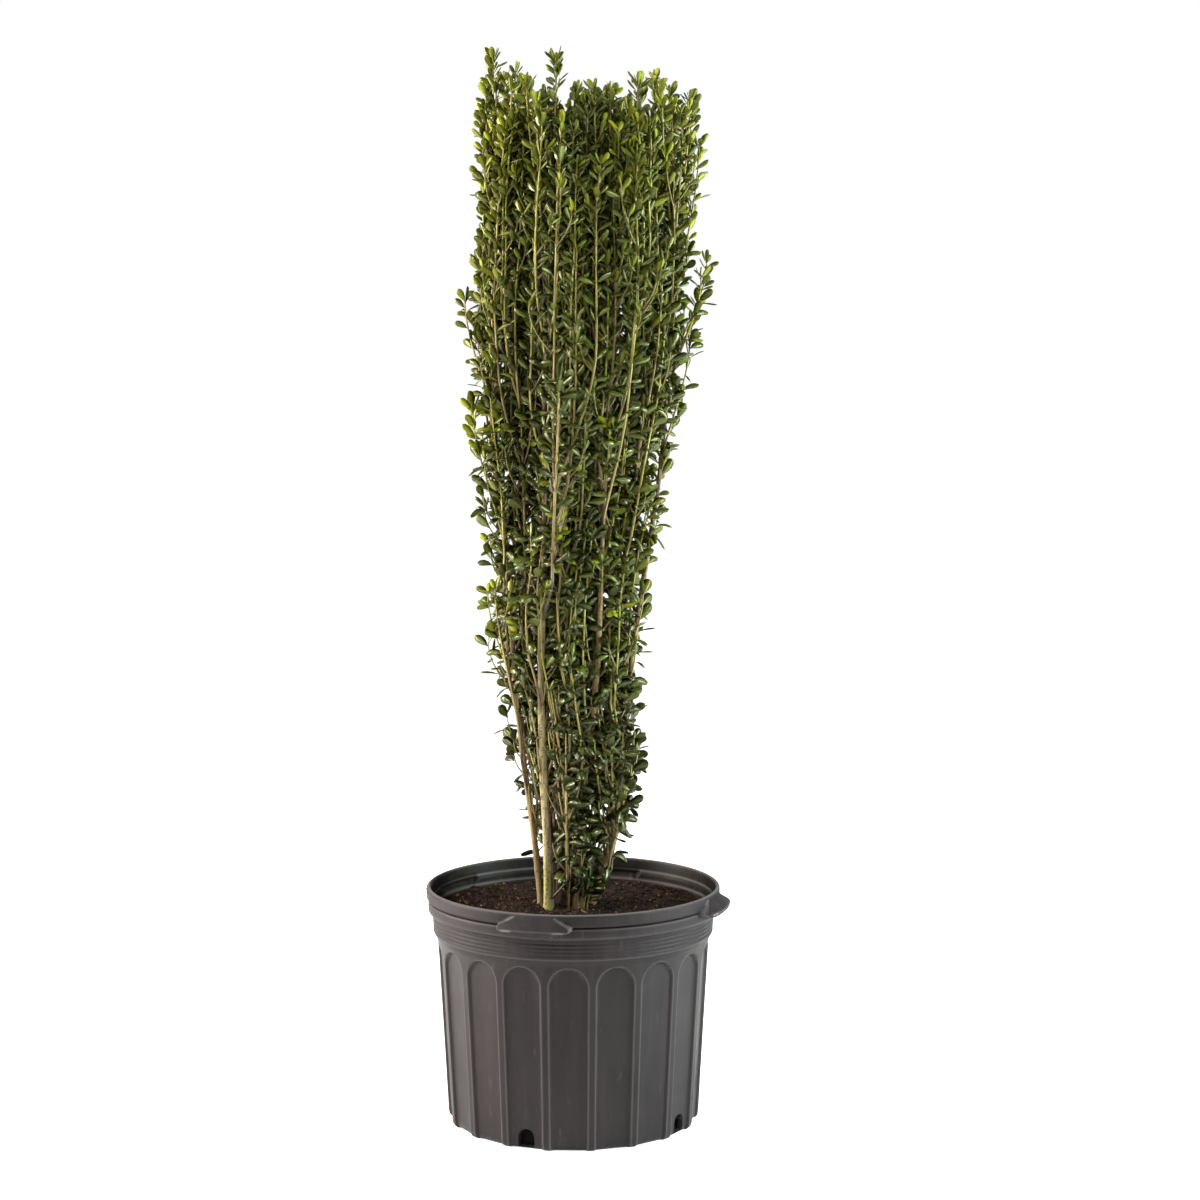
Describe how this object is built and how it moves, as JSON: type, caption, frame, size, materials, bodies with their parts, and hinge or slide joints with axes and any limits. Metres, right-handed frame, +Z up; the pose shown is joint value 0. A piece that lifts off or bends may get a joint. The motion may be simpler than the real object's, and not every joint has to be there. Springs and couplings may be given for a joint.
{
  "type": "potted japanese holly",
  "caption": "Narrow upright Japanese holly shrub with many stems and small glossy leaves, growing in a round black nursery pot filled with potting mix.",
  "frame": {"origin": "centre of the flat underside of the pot", "axes": "+Z up along the pot's axis, +X to the right and +Y away from the viewer as the picture shows it"},
  "size_m": [0.3728, 0.3728, 1.2836],
  "materials": {
    "pot_plastic": "satin black moulded plastic",
    "potting_mix": "moist dark brown peat and bark",
    "stem_bark": "smooth grey-green bark with pale pores",
    "bough_bark": "smooth tan to yellow-green young bark",
    "leaf": "glossy dark to yellow-green leaves"
  },
  "bodies": {
    "root": {"pot": "pot_plastic", "soil": "potting_mix", "stem_front": "stem_bark", "stem_front_right": "stem_bark", "stem_right": "stem_bark", "stem_rear_right": "stem_bark", "stem_rear": "stem_bark", "stem_rear_left": "stem_bark", "stem_left": "stem_bark", "stem_centre": "stem_bark", "bough_low_front": "bough_bark", "bough_low_front_right": "bough_bark", "bough_low_right": "bough_bark", "bough_low_rear": "bough_bark", "bough_low_rear_left": "bough_bark", "bough_middle_front": "bough_bark", "bough_middle_front_right": "bough_bark", "bough_middle_right": "bough_bark", "bough_middle_rear_right": "bough_bark", "bough_middle_rear": "bough_bark", "bough_middle_rear_left": "bough_bark", "bough_middle_left": "bough_bark", "bough_upper_front": "bough_bark", "bough_upper_front_right": "bough_bark", "bough_upper_right": "bough_bark", "bough_upper_rear_right": "bough_bark", "bough_upper_rear": "bough_bark", "bough_upper_rear_left": "bough_bark", "bough_upper_left": "bough_bark", "foliage_low_front": "leaf", "foliage_low_front_right": "leaf", "foliage_low_right": "leaf", "foliage_low_rear": "leaf", "foliage_low_rear_left": "leaf", "foliage_middle_front": "leaf", "foliage_middle_front_right": "leaf", "foliage_middle_right": "leaf", "foliage_middle_rear_right": "leaf", "foliage_middle_rear": "leaf", "foliage_middle_rear_left": "leaf", "foliage_middle_left": "leaf", "foliage_upper_front": "leaf", "foliage_upper_front_right": "leaf", "foliage_upper_right": "leaf", "foliage_upper_rear_right": "leaf", "foliage_upper_rear": "leaf", "foliage_upper_rear_left": "leaf", "foliage_upper_left": "leaf", "foliage_top_front": "leaf", "foliage_top_front_right": "leaf", "foliage_top_right": "leaf", "foliage_top_rear_right": "leaf", "foliage_top_rear": "leaf", "foliage_top_rear_left": "leaf", "foliage_top_left": "leaf", "foliage_top_centre": "leaf"}
  },
  "joints": []
}
